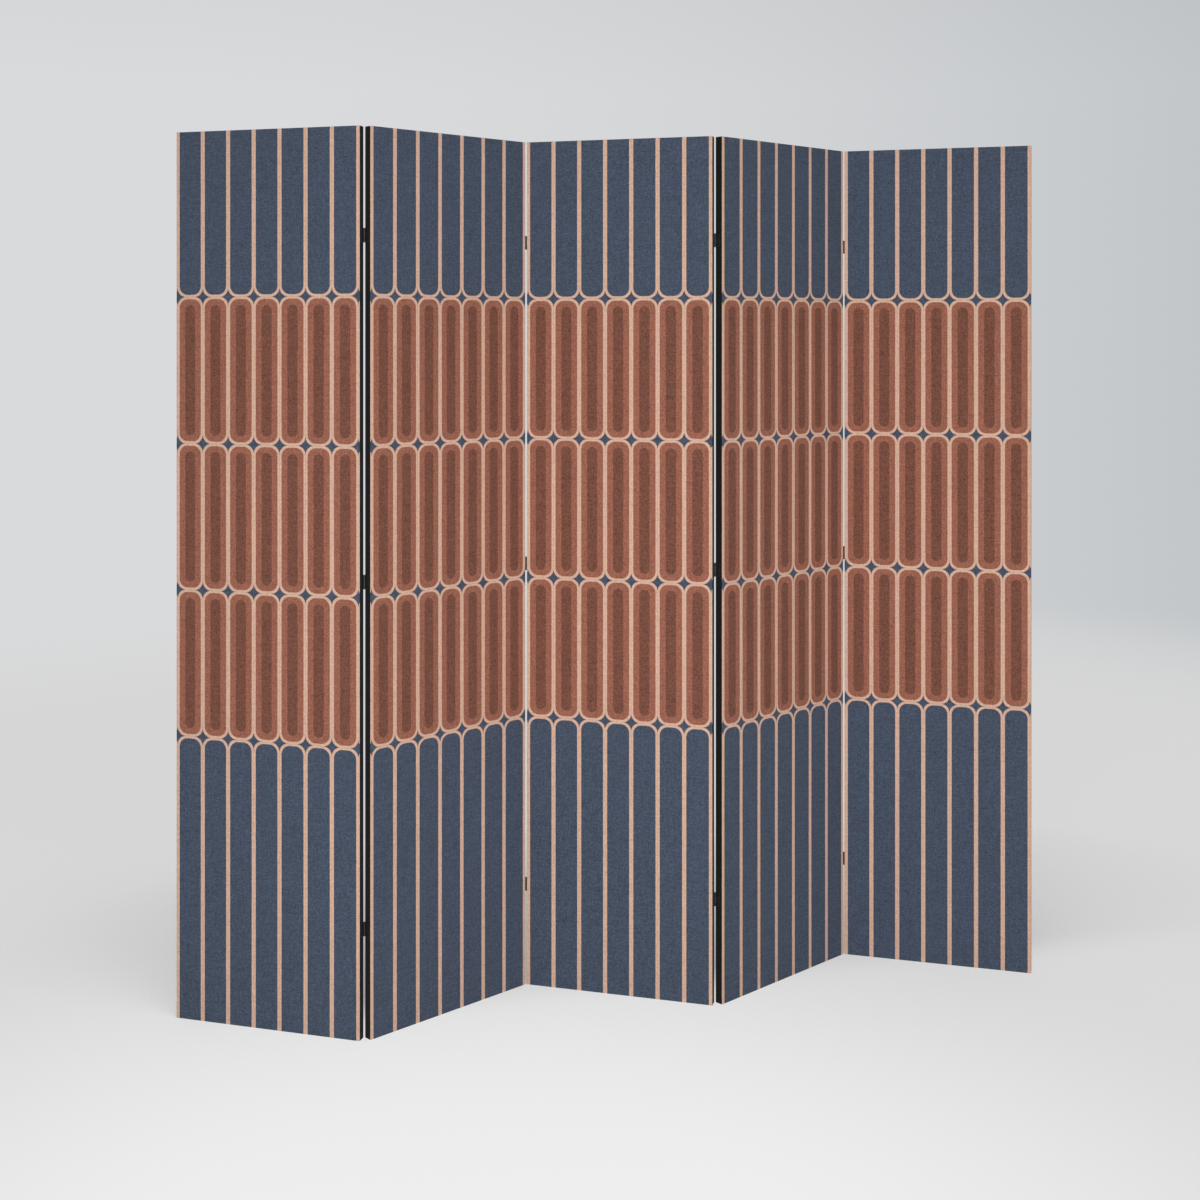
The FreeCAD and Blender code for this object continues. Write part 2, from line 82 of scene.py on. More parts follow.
camera = bpy.data.objects.new("studio_camera", camera_data)
camera.location = CAMERA_PLACE
camera.rotation_euler = (math.radians(90), 0, math.radians(-CAMERA_TURN))
bpy.context.scene.collection.objects.link(camera)
bpy.context.scene.camera = camera
print("lens", round(camera_data.lens, 2), "mm, shift", round(camera_data.shift_y, 4))


# %% [markdown]
# ## Where each panel stands
#
# Every panel is worked on in a frame of its own: its origin is the middle of the panel's foot, X runs
# along the panel, Y from its front to its back, and Z up. It could be modelled five times in
# the zigzag, but it is simpler to model one panel and turn it. Odd panels are turned one way
# and even ones the other. The distance between two panels comes from the panel's width, the barrel of
# the hinge that fills the gap, and the angle.

# %% Panel sizes and places

PANELS = range(1, 6)
WIDTH = 0.360
HEIGHT = 1.600
DEPTH = 0.016
EDGE_ROUND = 0.0009
CLOTH = 0.0006
HEM = 0.018
BARREL = 0.0028
PIVOT_PROUD = 0.0003
HALF_FOLD = math.radians(30)
PANEL_STEP = (WIDTH + BARREL) * math.cos(HALF_FOLD) + (DEPTH + 2 * PIVOT_PROUD) * math.sin(HALF_FOLD)


def panel_place(panel):
    """The matrix that takes a panel from its own frame to where it stands."""
    turn = -HALF_FOLD if panel % 2 else HALF_FOLD
    middle = (panel - (len(PANELS) + 1) / 2) * PANEL_STEP
    return Matrix.Translation((middle, 0, 0)) @ Matrix.Rotation(turn, 4, "Z")


for panel in PANELS:
    low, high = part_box(f"panel_{panel}_front_canvas")
    middle = panel_place(panel).translation.x
    print("panel", panel, "middle", round(middle, 4), "packed", round((low.x + high.x) / 2, 4))


# %% [markdown]
# ## Tools for finishes
#
# A finish in Blender is a small drawing of boxes and wires. A print with many rules, such as "cream if
# you are less than 4 mm from the edge of a bar", needs many sums, and a wire that can be added and
# multiplied like a number keeps those sums readable. The class below only makes Math nodes.

# %% Wires that can be reckoned with

SOFT_STEP = 0.5


class Wire:
    """An output of a material's node that adds, multiplies and compares like a number."""

    def __init__(self, tree, socket):
        self.tree = tree
        self.socket = socket

    def reckon(self, operation, *others, clamp=False):
        made = self.tree.nodes.new("ShaderNodeMath")
        made.operation = operation
        made.use_clamp = clamp
        for place, term in enumerate((self, *others)):
            plug(self.tree, term, made.inputs[place])
        return Wire(self.tree, made.outputs[0])

    def __add__(self, other):
        return self.reckon("ADD", other)

    def __sub__(self, other):
        return self.reckon("SUBTRACT", other)

    def __mul__(self, other):
        return self.reckon("MULTIPLY", other)

    def __rsub__(self, other):
        return (self * -1) + other

    def higher(self, other):
        return self.reckon("MAXIMUM", other)

    def lower(self, other):
        return self.reckon("MINIMUM", other)

    def size(self):
        return self.reckon("ABSOLUTE")

    def wave(self):
        return self.reckon("SINE")

    def inside(self, softness):
        """1 where the wire is above zero and 0 where it is below, with a soft line between."""
        return (self * (1 / softness)).reckon("ADD", SOFT_STEP, clamp=True)

    def between(self, low, high):
        """0 up to the low value, 1 from the high one, and a straight climb between them."""
        return ((self - low) * (1 / (high - low))).higher(0).lower(1)


print("wires can be added, multiplied, compared and softened")


# %% Joining wires and making nodes


def plug(tree, value, socket):
    """Join a wire to a socket, or write a plain number or colour into it."""
    if isinstance(value, Wire):
        tree.links.new(value.socket, socket)
    else:
        socket.default_value = value


def node(tree, kind, settings=None, **sockets):
    """A new node; settings are its own options, and sockets are values or wires for its inputs."""
    made = tree.nodes.new("ShaderNode" + kind)
    for name, value in (settings or {}).items():
        setattr(made, name, value)
    for name, value in sockets.items():
        plug(tree, value, made.inputs[name.replace("_", " ")])
    return made


print("nodes can be made and joined in one line")


# %% [markdown]
# Colours in pictures are written from 0 to 255 on a curve that suits the eye. Blender mixes light, so
# its sockets want them straightened out. Noise, mixing two colours, and shading one colour lighter
# or darker by a wire are needed by every finish, so they are helpers as well.

# %% Colours, noise and mixing

WHITE = 255
CURVE_LIFT = 0.055
CURVE_POWER = 2.4
DARK_SLOPE = 12.92
DARK_END = 10
CLOUD_MIDDLE = 0.5


def ink(red, green, blue):
    """A colour read from a picture, 0 to 255, as light for a socket."""
    straight = []
    for step in (red, green, blue):
        if step > DARK_END:
            straight.append(((step / WHITE + CURVE_LIFT) / (1 + CURVE_LIFT)) ** CURVE_POWER)
        else:
            straight.append(step / WHITE / DARK_SLOPE)
    return (*straight, 1.0)


def mottle(tree, places, scale, detail=2.0, rough=0.5):
    """A cloudy wire from 0 to 1, mostly near a half, with clouds about 1/scale metres wide."""
    cloud = node(tree, "TexNoise", {"noise_dimensions": "3D"}, Vector=places, Scale=scale, Detail=detail,
                 Roughness=rough)
    return Wire(tree, cloud.outputs["Fac"])


def swing(tree, places, scale, amount, detail=2.0, rough=0.5):
    """The same clouds as a wire round 0: their middle taken off, and the rest made as strong as amount."""
    return (mottle(tree, places, scale, detail, rough) - CLOUD_MIDDLE) * amount


def mixed(tree, share, first, second):
    """A colour wire: the first colour where the share is 0 and the second where it is 1."""
    mix = tree.nodes.new("ShaderNodeMix")
    mix.data_type = "RGBA"
    inputs = {socket.name: socket for socket in mix.inputs if socket.enabled}
    plug(tree, share, inputs["Factor"])
    plug(tree, first, inputs["A"])
    plug(tree, second, inputs["B"])
    return Wire(tree, next(socket for socket in mix.outputs if socket.enabled))


def shaded(tree, colour, light):
    """A colour wire made lighter or darker by a number wire, where 1 leaves it alone."""
    colour = colour if isinstance(colour, Wire) else colour[:3]
    scale = node(tree, "VectorMath", {"operation": "SCALE"}, Vector=colour, Scale=light)
    return Wire(tree, scale.outputs["Vector"])


print("blue ink is", [round(c, 3) for c in ink(72, 81, 97)])


# %% Streaks, fresh materials and bumps


def stretched(tree, places, x, y, z, turn=0.0):
    """The places scaled along each axis, after a turn about Z, so that noise on them runs in streaks."""
    turned = node(tree, "Mapping", {"vector_type": "POINT"}, Vector=places, Rotation=(0, 0, turn))
    moved = node(tree, "Mapping", {"vector_type": "POINT"}, Vector=Wire(tree, turned.outputs["Vector"]),
                 Scale=(x, y, z))
    return Wire(tree, moved.outputs["Vector"])


def new_finish(name):
    """An empty material with its tree and its Principled shader."""
    finish = bpy.data.materials.new(name)
    finish.use_nodes = True
    tree = finish.node_tree
    shader = next(n for n in tree.nodes if n.type == "BSDF_PRINCIPLED")
    return finish, tree, shader


def raised(tree, shader, height, depth, strength):
    """Let a wire of height stand out of the surface, depth metres for a height of 1."""
    bump = node(tree, "Bump", None, Height=height, Strength=strength, Distance=depth)
    tree.links.new(bump.outputs["Normal"], shader.inputs["Normal"])


print("finishes can have streaks and bumps")


# %% [markdown]
# ## Canvas: the thread
#
# Canvas is a plain weave: each thread goes over one and under the next, so the surface is a fine
# chequer of small bumps. Hand-spun looks come from threads that are thicker here and thinner
# there, which shows as faint streaks both ways. The bumps could be modelled, but millions of them would
# only slow the picture down. Two sine waves times each other make the chequer, and noise pulled long
# in each direction makes the streaks. Both follow the cloth's own map, in metres, so the weave is the
# same size everywhere and bends round the edges with the cloth.

# %% A weave made of two waves

CLOTH_MAP = "cloth_metres"
SLUB_LENGTH = 0.030
SLUB_HEIGHT = 1.6
BETWEEN_LAYERS = 0.37


def cloth_places(tree, seed):
    """The place on the flat cloth, as two wires in metres and as one vector that differs by piece."""
    flat = node(tree, "UVMap", {"uv_map": CLOTH_MAP})
    parts = node(tree, "SeparateXYZ", None, Vector=Wire(tree, flat.outputs["UV"]))
    across, up = Wire(tree, parts.outputs["X"]), Wire(tree, parts.outputs["Y"])
    piece = node(tree, "ObjectInfo")
    layer = Wire(tree, piece.outputs["Object Index"]) + (seed + BETWEEN_LAYERS)
    joined = node(tree, "CombineXYZ", None, X=across, Y=up, Z=layer)
    return across, up, Wire(tree, joined.outputs["Vector"])


def weave(tree, across, up, places, pitch):
    """Two wires: the height of the threads, about -1 to 1, and how light or dark each thread is."""
    turns = 2 * math.pi / pitch
    chequer = (across * turns).wave() * (up * turns).wave()
    warp = mottle(tree, stretched(tree, places, 1 / pitch, 1 / SLUB_LENGTH, 1), scale=1.0)
    weft = mottle(tree, stretched(tree, places, 1 / SLUB_LENGTH, 1 / pitch, 1), scale=1.0)
    streaks = warp + weft - 1
    return chequer + streaks * SLUB_HEIGHT, streaks


print("threads follow the map", CLOTH_MAP)


# %% [markdown]
# ## The print
#
# The front of each panel is printed with upright bars that have round ends. Seven columns of
# them fill the width. In the middle three rows they are terracotta with a darker core, above and below
# them they are slate blue and run off the cloth, and each has a cream outline. Where four bars meet, their
# round corners leave a small blue star.
#
# It could be painted as a picture. A rule is sharper and can be checked against a ruler: for any place
# on the cloth, take the distance to the side of its column and to the end of its row. From those two,
# the depth inside a bar with rounded corners is one short sum, and it is used three times: for the
# outline, for what lies inside it, and for the core. The pattern is cut off at the panel's edges,
# and the cloth is plain black beyond them.

# %% Sizes and inks of the print

COLUMNS = 7
COLUMN = 0.05072
ROW = 0.26385
FIRST_ROW = 0.5106
ROWS = 3
CORNER = 0.0168
OUTLINE = 0.0040
INNER_CORNER = 0.0158
CORE_SIDE = 0.01549
CORE_END = 0.0146
CORE_CORNER = 0.00987
PRINT_SOFTNESS = 0.0004
ROW_SOFTNESS = 0.0001
CREAM_CALM = 0.6
TERRACOTTA_CALM = 0.22

BLUE = ink(70, 80, 97)
CREAM = ink(213, 175, 153)
TERRACOTTA = ink(152, 97, 79)
CORE = ink(117, 75, 61)
BLACK_EDGE = ink(13, 14, 16)


def depth_inside(side, end, corner):
    """How deep a place lies inside a round-cornered bar, from its depth behind the bar's side and end."""
    out_side, out_end = corner - side, corner - end
    across, along = out_side.higher(0), out_end.higher(0)
    away = (across * across + along * along).reckon("SQRT")
    return corner - away - out_side.higher(out_end).lower(0)


print("the print has", COLUMNS, "columns", COLUMN * 1000, "mm wide")


# %% The print as a colour


def printed_colour(tree, across, up):
    """Two wires: the print's colour at a place on the cloth, and how much calmer it is than the dark inks."""
    column = (across - WIDTH / 2) * (1 / COLUMN) + COLUMNS / 2
    side = (0.5 - (column.reckon("FRACT") - 0.5).size()) * COLUMN
    row = (up - FIRST_ROW) * (1 / ROW)
    nearest = row.reckon("ROUND").higher(0).lower(ROWS)
    end = (row - nearest).size() * ROW
    among_rows = row.higher(0).lower(ROWS) - row
    bars = 1 - (among_rows.size() - ROW_SOFTNESS).inside(ROW_SOFTNESS)

    outline = depth_inside(side, end, CORNER).inside(PRINT_SOFTNESS)
    filling = depth_inside(side - OUTLINE, end - OUTLINE, INNER_CORNER).inside(PRINT_SOFTNESS)
    core = depth_inside(side - CORE_SIDE, end - CORE_END, CORE_CORNER).inside(PRINT_SOFTNESS) * bars

    field = mixed(tree, bars, BLUE, TERRACOTTA)
    colour = mixed(tree, outline, BLUE, CREAM)
    colour = mixed(tree, filling, colour, field)
    calm = outline * (1 - filling) * CREAM_CALM + filling * bars * (1 - core) * TERRACOTTA_CALM
    return mixed(tree, core, colour, CORE), calm


print("inks:", "slate blue, cream, terracotta, dark core")


# %% [markdown]
# The finish of the canvas joins the print, the black edges and the weave. Dark ink sinks into cloth
# unevenly, so the colour is speckled, with grains one to three millimetres wide, and drifts a little
# from place to place. Cream hides the speckles and stays cleanest, and terracotta comes next. Canvas
# has no gloss, only a faint velvet bloom at a slant, which is what the shader's sheen is for. Along the
# folded edges the black is painted a trifle paler in patches: partly rubbed wear, partly a painted
# highlight where the cloth turns the edge. The height of the weave also shades its colour a little, a
# painted shade in the hollows between threads. At each corner the spare cloth is folded under itself,
# which leaves a slanting step on the top and bottom edges.

# %% Canvas finish

THREAD_PITCH = 0.0009
THREAD_HEIGHT = 0.00016
THREAD_BUMP = 0.8
THREAD_SHADE = 0.03
STREAKS = 0.55
EDGE_BAND = 0.0012
EDGE_PATCH_SCALE = 60.0
SCUFF_AND_HIGHLIGHT = 2.0
WANDER_SCALE = 180.0
WANDER = 0.0003
GRAIN_SCALE = 345.0
GRAIN_ROUGH = 0.6
GRAIN = 1.5
DRIFT_SCALE = 5.0
DRIFT = 0.05
DULLNESS = 0.86
GRAIN_DULLS = 0.3
FLAP_SOFTNESS = 0.0005
FLAP_HEIGHT = 2.5


def canvas_finish():
    """The printed front, its black edges and hem, and the weave under both."""
    finish, tree, shader = new_finish("printed_canvas")
    across, up, places = cloth_places(tree, 0)
    threads, streaks = weave(tree, across, up, places, THREAD_PITCH)

    wander = swing(tree, places, WANDER_SCALE, WANDER)
    border = across.lower(WIDTH - across).lower(up.lower(HEIGHT - up)) + wander
    front = border.inside(PRINT_SOFTNESS)
    # Rubbed wear and a painted highlight: the black is made paler in patches along a band where the cloth
    # turns the edge.
    rubbed_and_highlit = 1 - ((border + EDGE_BAND).size() * (1 / EDGE_BAND)).lower(1)
    scuffs_and_highlights = (mottle(tree, places, EDGE_PATCH_SCALE, detail=4.0) - CLOUD_MIDDLE).higher(0) * SCUFF_AND_HIGHLIGHT
    edge = shaded(tree, BLACK_EDGE, rubbed_and_highlit * scuffs_and_highlights + 1)
    printed, calm = printed_colour(tree, across, up)
    colour = mixed(tree, front, edge, printed)

    grain = swing(tree, places, GRAIN_SCALE, GRAIN, detail=1.0, rough=GRAIN_ROUGH)
    drift = swing(tree, places, DRIFT_SCALE, DRIFT, detail=3.0)
    # threads * THREAD_SHADE: the weave's height lightens its tops and darkens its hollows, a painted shade
    # beside the threads' own tone.
    light = (grain + streaks * STREAKS) * (1 - calm) + drift + threads * THREAD_SHADE + 1
    plug(tree, shaded(tree, colour, light), shader.inputs["Base Color"])
    plug(tree, (grain * GRAIN_DULLS + DULLNESS).lower(1), shader.inputs["Roughness"])
    shader.inputs["Specular IOR Level"].default_value = 0.15
    shader.inputs["Sheen Weight"].default_value = 0.03
    shader.inputs["Sheen Roughness"].default_value = 0.6
    past_side = (across * -1).higher(across - WIDTH)
    past_end = (up * -1).higher(up - HEIGHT)
    flap = (past_end + past_side).inside(FLAP_SOFTNESS) * past_end.inside(FLAP_SOFTNESS)
    raised(tree, shader, threads + flap * FLAP_HEIGHT, THREAD_HEIGHT, THREAD_BUMP)
    return finish


canvas_material = canvas_finish()
print("canvas finish:", len(canvas_material.node_tree.nodes), "nodes")


# %% [markdown]
# ## The canvas on its frame
#
# The canvas is one rectangle of cloth, pulled over the front of the frame, round its four edges and
# stapled on its back. It could be a box with rounded edges, but a box has no hem and no
# inside. Instead the cloth is made the way it is fitted: a grid for the front, then ring after
# ring of points that follow the rounding, the edge, the back rounding and the hem. Solidify
# then gives it the cloth's thickness. Between the bars of the frame the cloth has nothing behind it
# and sinks by a few tenths of a millimetre, which the light picks up as a very soft swell.

# %% The path of the cloth round an edge

ROUND_STEPS = 6
EDGE_STEPS = 3
CORNER_STEPS = 6
BACK_ROUND = 0.0005
FOLD_SHORT = 0.0001
FOLD_BACK = DEPTH / 2 - FOLD_SHORT
HEM_BACK = DEPTH / 2 - CLOTH
HEM_DOWN = 0.0024


def wrap_stations():
    """Places along the cloth from the front's border to the hem's edge.

    Each is: how far in from the panel's side the ring's straight runs have their corner centres, the
    radius round them, the depth, and how far along the cloth it is from the front's border.
    """
    stations = []
    length = 0.0
    for step in range(1, ROUND_STEPS + 1):
        angle = math.radians(90) * step / ROUND_STEPS
        length = EDGE_ROUND * angle
        depth = -DEPTH / 2 + EDGE_ROUND * (1 - math.cos(angle))
        stations.append((EDGE_ROUND, EDGE_ROUND * math.sin(angle), depth, length))
    start, stop = -DEPTH / 2 + EDGE_ROUND, FOLD_BACK - BACK_ROUND
    for step in range(1, EDGE_STEPS + 1):
        depth = start + (stop - start) * step / EDGE_STEPS
        stations.append((EDGE_ROUND, EDGE_ROUND, depth, length + depth - start))
    length += stop - start
    for step in range(1, ROUND_STEPS + 1):
        angle = math.radians(90) * step / ROUND_STEPS
        stations.append((EDGE_ROUND, EDGE_ROUND - BACK_ROUND * (1 - math.cos(angle)),
                         stop + BACK_ROUND * math.sin(angle), length + BACK_ROUND * angle))
    length += BACK_ROUND * math.radians(90)
    for inset in (HEM_DOWN, HEM / 2, HEM):
        stations.append((inset, 0.0, HEM_BACK, length + inset - BACK_ROUND))
    return stations


print("the cloth turns the edge in", len(wrap_stations()), "steps")


# %% Rings of points

FRONT_COLUMNS = 24
FRONT_ROWS = 96


def ring_points(inset, radius, depth):
    """Points round a panel, anticlockwise from its lower left corner, each with its way outward."""
    half, low, high = WIDTH / 2 - inset, inset, HEIGHT - inset
    corners = [(-half, low, 180), (half, low, 270), (half, high, 0), (-half, high, 90)]
    runs = [FRONT_COLUMNS, FRONT_ROWS, FRONT_COLUMNS, FRONT_ROWS]
    points = []
    for number, (x, z, first) in enumerate(corners):
        for step in range(CORNER_STEPS + 1):
            angle = math.radians(first + 90 * step / CORNER_STEPS)
            points.append((Vector((x + radius * math.cos(angle), depth, z + radius * math.sin(angle))),
                           Vector((math.cos(angle), 0, math.sin(angle)))))
        next_x, next_z, _ = corners[(number + 1) % len(corners)]
        outward = Vector((math.cos(math.radians(first + 90)), 0, math.sin(math.radians(first + 90))))
        for step in range(1, runs[number]):
            share = step / runs[number]
            base = Vector((x + (next_x - x) * share, depth, z + (next_z - z) * share))
            points.append((base + outward * radius, outward))
    return points


print("a ring has", len(ring_points(EDGE_ROUND, EDGE_ROUND, 0)), "points")


# %% The front of the cloth

BARS = (0.0, 1 / 3, 2 / 3, 1.0)
BAYS = len(BARS) - 1
SINK = 0.00035
SINK_FLATTER = 0.8
SINK_AT_BARS = 0.35


def sink(x, z):
    """How far the cloth sinks at a place on the front, between the upright bars and the cross bars."""
    bay = next(n for n in range(BAYS) if z <= BARS[n + 1] * HEIGHT or n == BAYS - 1)
    along = (z / HEIGHT - BARS[bay]) / (BARS[bay + 1] - BARS[bay])
    over_width = max(0.0, math.cos(math.pi * x / WIDTH)) ** SINK_FLATTER
    return SINK * over_width * (SINK_AT_BARS + (1 - SINK_AT_BARS) * math.sin(math.pi * along))


def front_grid(shape, flat):
    """Add the grid of the front, each point with its place on the flat cloth."""
    for step_x in range(FRONT_COLUMNS + 1):
        for step_z in range(FRONT_ROWS + 1):
            x = (step_x / FRONT_COLUMNS - 0.5) * (WIDTH - 2 * EDGE_ROUND)
            z = EDGE_ROUND + step_z / FRONT_ROWS * (HEIGHT - 2 * EDGE_ROUND)
            point = shape.verts.new((x, -DEPTH / 2, z))
            point[flat] = (x + WIDTH / 2, z, 0)
    shape.verts.ensure_lookup_table()
    rows = FRONT_ROWS + 1
    for step_x in range(FRONT_COLUMNS):
        for step_z in range(FRONT_ROWS):
            a = step_x * rows + step_z
            shape.faces.new([shape.verts[n] for n in (a, a + rows, a + rows + 1, a + 1)])


print("half way up the middle bay the cloth sinks", round(1000 * sink(0, HEIGHT / 2), 2), "mm")


# %% The wrap round the edges


def wrapped_rings(shape, flat):
    """Add ring after ring of points from the front's border to the hem, joined by faces."""
    first = ring_points(EDGE_ROUND, 0.0, -DEPTH / 2)
    stations = [(EDGE_ROUND, 0.0, -DEPTH / 2, 0.0)] + wrap_stations()
    last = None
    for inset, radius, depth, length in stations:
        ring = []
        for (place, outward), (start, _) in zip(ring_points(inset, radius, depth), first):
            point = shape.verts.new(place)
            along = start + outward * length
            point[flat] = (along.x + WIDTH / 2, along.z, 0)
            ring.append(point)
        if last:
            for n in range(len(ring)):
                m = (n + 1) % len(ring)
                shape.faces.new((last[n], last[m], ring[m], ring[n]))
        last = ring


print("the wrap is joined from", 1 + len(wrap_stations()), "rings")


# %% The canvas mesh

WELD = 1e-6
NO_LENGTH = 1e-7


def canvas_mesh(name):
    """One wrapped cloth in the panel's own frame, with its flat places in metres as its map."""
    shape = bmesh.new()
    flat = shape.verts.layers.float_vector.new("flat_place")
    front_grid(shape, flat)
    wrapped_rings(shape, flat)
    bmesh.ops.remove_doubles(shape, verts=shape.verts, dist=WELD)
    bmesh.ops.dissolve_degenerate(shape, edges=shape.edges, dist=NO_LENGTH)
    bmesh.ops.recalc_face_normals(shape, faces=shape.faces)

    mapping = shape.loops.layers.uv.new(CLOTH_MAP)
    for face in shape.faces:
        face.smooth = True
        for corner in face.loops:
            corner[mapping].uv = corner.vert[flat].xy
    for point in shape.verts:
        if abs(point.co.y + DEPTH / 2) < NO_LENGTH:
            point.co.y += sink(point.co.x, point.co.z)
    mesh = bpy.data.meshes.new(name)
    shape.to_mesh(mesh)
    shape.free()
    return mesh


trial = canvas_mesh("trial_cloth")
print("one canvas has", len(trial.vertices), "points and", len(trial.polygons), "faces")
bpy.data.meshes.remove(trial)


# %% Hang the canvases


def frame_bars(panel):
    """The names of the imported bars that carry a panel's cloths."""
    return [f"panel_{panel}_{bar}" for bar in ("left_stile", "right_stile", "top_rail", "bottom_rail")]


def thicken(cloth, thickness):
    """Give a single skin its thickness, inwards, and close its rim."""
    solid = cloth.modifiers.new("cloth_thickness", "SOLIDIFY")
    solid.thickness = thickness
    solid.offset = -1
    solid.use_rim = True
    solid.use_even_offset = True


for panel in PANELS:
    mesh = canvas_mesh(f"panel_{panel}_printed_cloth")
    mesh.transform(panel_place(panel))
    mesh.materials.append(canvas_material)
    cloth = bpy.data.objects.new(f"panel_{panel}_printed_cloth", mesh)
    cloth.pass_index = panel
    bpy.context.scene.collection.objects.link(cloth)
    thicken(cloth, CLOTH)
    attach(cloth, f"panel_{panel}")
    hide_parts(f"panel_{panel}_front_canvas")


# %% [markdown]
# ## The back lining
#
# A plain black cloth closes the back of each panel. Its edges are cut a little inside the panel's
# edges, and staples hold it. It could stay flat, but every staple bites into real cloth and leaves a
# dimple, and between the bars the lining sinks a little. So its grid is fine along the borders, where the
# staples are, and coarse in the middle. The places of the staples are read from the packed
# staples themselves, so that each dimple lies under its crown.

# %% Find the staples

SAME_POINT = 1e-5


def loose_boxes(node_name, panel):
    """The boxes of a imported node's separate solids, in the panel's own frame."""
    solid = bmesh.new()
    solid.from_mesh(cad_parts[node_name].data)
    solid.transform(panel_place(panel).inverted())
    bmesh.ops.remove_doubles(solid, verts=solid.verts, dist=SAME_POINT)
    left, boxes = set(solid.verts), []
    while left:
        group, edge = set(), [left.pop()]
        while edge:
            point = edge.pop()
            group.add(point)
            for link in point.link_edges:
                other = link.other_vert(point)
                if other in left:
                    left.remove(other)
                    edge.append(other)
        xs, zs = [p.co.x for p in group], [p.co.z for p in group]
        boxes.append((min(xs), max(xs), min(zs), max(zs)))
    solid.free()
    return sorted(boxes)


staple_boxes = loose_boxes("panel_3_staples", 3)
print("panel 3 is held by", len(staple_boxes), "staples")


# %% A grid for the lining

BORDER_STEPS = (0.0, 0.0007, 0.0016, 0.003, 0.006, 0.010, 0.014, 0.018, 0.024)
LINING_CORNER = 0.003
LINING_INSET = 0.0025
LINING_FLAT = (WIDTH - 2 * LINING_INSET, HEIGHT - 2 * LINING_INSET)


def grid_lines(half, middle_step):
    """Lines across a cloth, from -half to half: close at both borders and middle_step apart between."""
    inner = half - BORDER_STEPS[-1]
    count = round(2 * inner / middle_step)
    middle = [-inner + 2 * inner * n / count for n in range(1, count)]
    border = [half - step for step in BORDER_STEPS]
    return [-place for place in border] + middle + border[::-1]


def rounded_corner(x, z, half_x, half_z):
    """Bend the square corner of a grid to a round one."""
    in_x, in_z = abs(x) - (half_x - LINING_CORNER), abs(z) - (half_z - LINING_CORNER)
    if min(in_x, in_z) <= 0:
        return x, z
    shrink = max(in_x, in_z) / math.hypot(in_x, in_z)
    return (math.copysign(half_x - LINING_CORNER + in_x * shrink, x),
            math.copysign(half_z - LINING_CORNER + in_z * shrink, z))


print("the lining is", [round(1000 * side, 1) for side in LINING_FLAT], "mm when it lies flat")


# %% Dimples and slack

DIMPLE = 0.00028
DIMPLE_REACH = 0.0022
PUCKER = 0.00012
PUCKER_REACH = 0.011
BAY_SINK = 0.00045
BAY_SIDE = 0.159
BAY_EASE = 0.03
EVEN_SHARE, BAY_SHARE, RIPPLE_SHARE = 0.5, 0.3, 0.2
RIPPLES = ((31, 5.3, 0.0), (17, -11, 1.3))
NEAR = 0.045
MIDDLE_HALF = 0.135
MIDDLE_LOW = 0.045


def bite(x, z):
    """How deep the lining is pressed in at a place by the staples round it."""
    if abs(x) < MIDDLE_HALF and MIDDLE_LOW < z < HEIGHT - MIDDLE_LOW:
        return 0.0
    depth = 0.0
    for low_x, high_x, low_z, high_z in staple_boxes:
        if abs(z - low_z) > NEAR:
            continue
        away = math.hypot(max(low_x - x, x - high_x, 0), max(low_z - z, z - high_z, 0))
        depth = max(depth, DIMPLE * math.exp(-(away / DIMPLE_REACH) ** 2)
                    + PUCKER * math.exp(-(away / PUCKER_REACH) ** 2))
    return depth


def slack(x, z):
    """How far the lining sinks between the bars, with a faint unevenness."""
    inside = max(0.0, min(1.0, (BAY_SIDE - abs(x)) / BAY_EASE)) ** 2
    bay = math.sqrt(abs(math.sin(BAYS * math.pi * z / HEIGHT)))
    ripple = sum(math.sin(over * x + up * z + late) + 1 for over, up, late in RIPPLES) / (2 * len(RIPPLES))
    return BAY_SINK * inside * (EVEN_SHARE + BAY_SHARE * bay + RIPPLE_SHARE * ripple)


print("dimples are", DIMPLE * 1000, "mm deep")


# %% The lining mesh

MIDDLE_STEP = 0.020
STAPLE_ROW_STEP = 0.005


def lining_mesh(name):
    """The plain cloth on a panel's back, in the panel's own frame."""
    half_x, half_z = LINING_FLAT[0] / 2, LINING_FLAT[1] / 2
    lines_x, lines_z = grid_lines(half_x, MIDDLE_STEP), grid_lines(half_z, STAPLE_ROW_STEP)
    places = [rounded_corner(x, z, half_x, half_z) for x in lines_x for z in lines_z]
    points = [(x, DEPTH / 2 - bite(x, z + HEIGHT / 2) - slack(x, z + HEIGHT / 2), z + HEIGHT / 2)
              for x, z in places]
    rows = len(lines_z)
    faces = [(a, a + 1, a + rows + 1, a + rows)
             for step in range(len(lines_x) - 1) for a in range(step * rows, step * rows + rows - 1)]
    mesh = bpy.data.meshes.new(name)
    mesh.from_pydata(points, [], faces)
    mapping = mesh.uv_layers.new(name=CLOTH_MAP)
    for loop in mesh.loops:
        x, _, z = points[loop.vertex_index]
        mapping.data[loop.index].uv = (x + WIDTH / 2, z)
    mesh.shade_smooth()
    return mesh


trial = lining_mesh("trial_lining")
print("one lining has", len(trial.vertices), "points and", len(trial.polygons), "faces")
bpy.data.meshes.remove(trial)


# %% [markdown]
# The lining is a thinner, plainer cloth than canvas: a finer and flatter weave in black, with a soft
# sheen. Black cloth shows every bit of lint, so a few pale fibres lie on it. They are the brightest
# peaks of a noise that is pulled long at a slant; everything below those peaks is cut off.

# %% Lining finish

LINING_BLACK = ink(42, 42, 45)
LINING_SEED = 40
LINING_PITCH = 0.0007
LINING_THREAD_HEIGHT = 0.00012
LINT_ACROSS, LINT_ALONG, LINT_SLANT = 900, 240, 0.6
LINT_FROM, LINT_BRIGHT = 0.66, 6
LINING_STREAKS, LINING_SHADE = 0.5, 0.12
LINING_DRIFT_SCALE, LINING_DRIFT = 7.0, 0.25
LINING_DULLNESS = 0.82


